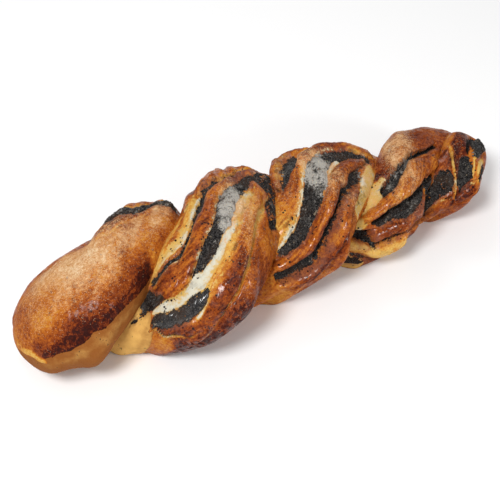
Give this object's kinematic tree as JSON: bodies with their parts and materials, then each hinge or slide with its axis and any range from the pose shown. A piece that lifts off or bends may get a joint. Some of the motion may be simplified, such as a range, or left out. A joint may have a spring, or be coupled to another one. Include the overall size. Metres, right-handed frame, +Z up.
{
  "type": "braided loaf",
  "caption": "Long twisted sweet loaf of filled dough with a glossy browned crust, dark poppy seed layers and a flat underside",
  "frame": {"origin": "middle of the flat underside, below the centre of the bounding box", "axes": "+X along the loaf from its broad plump end to its narrow end, +Y across it towards its back, +Z up from the tray"},
  "size_m": [0.3804, 0.1292, 0.0848],
  "materials": {
    "baked_crust": "egg washed bread crust, glossy brown on top, paler and dull towards the tray, with open layers of crumb and black poppy seed filling"
  },
  "bodies": {
    "root": {"loaf": "baked_crust"}
  },
  "joints": []
}
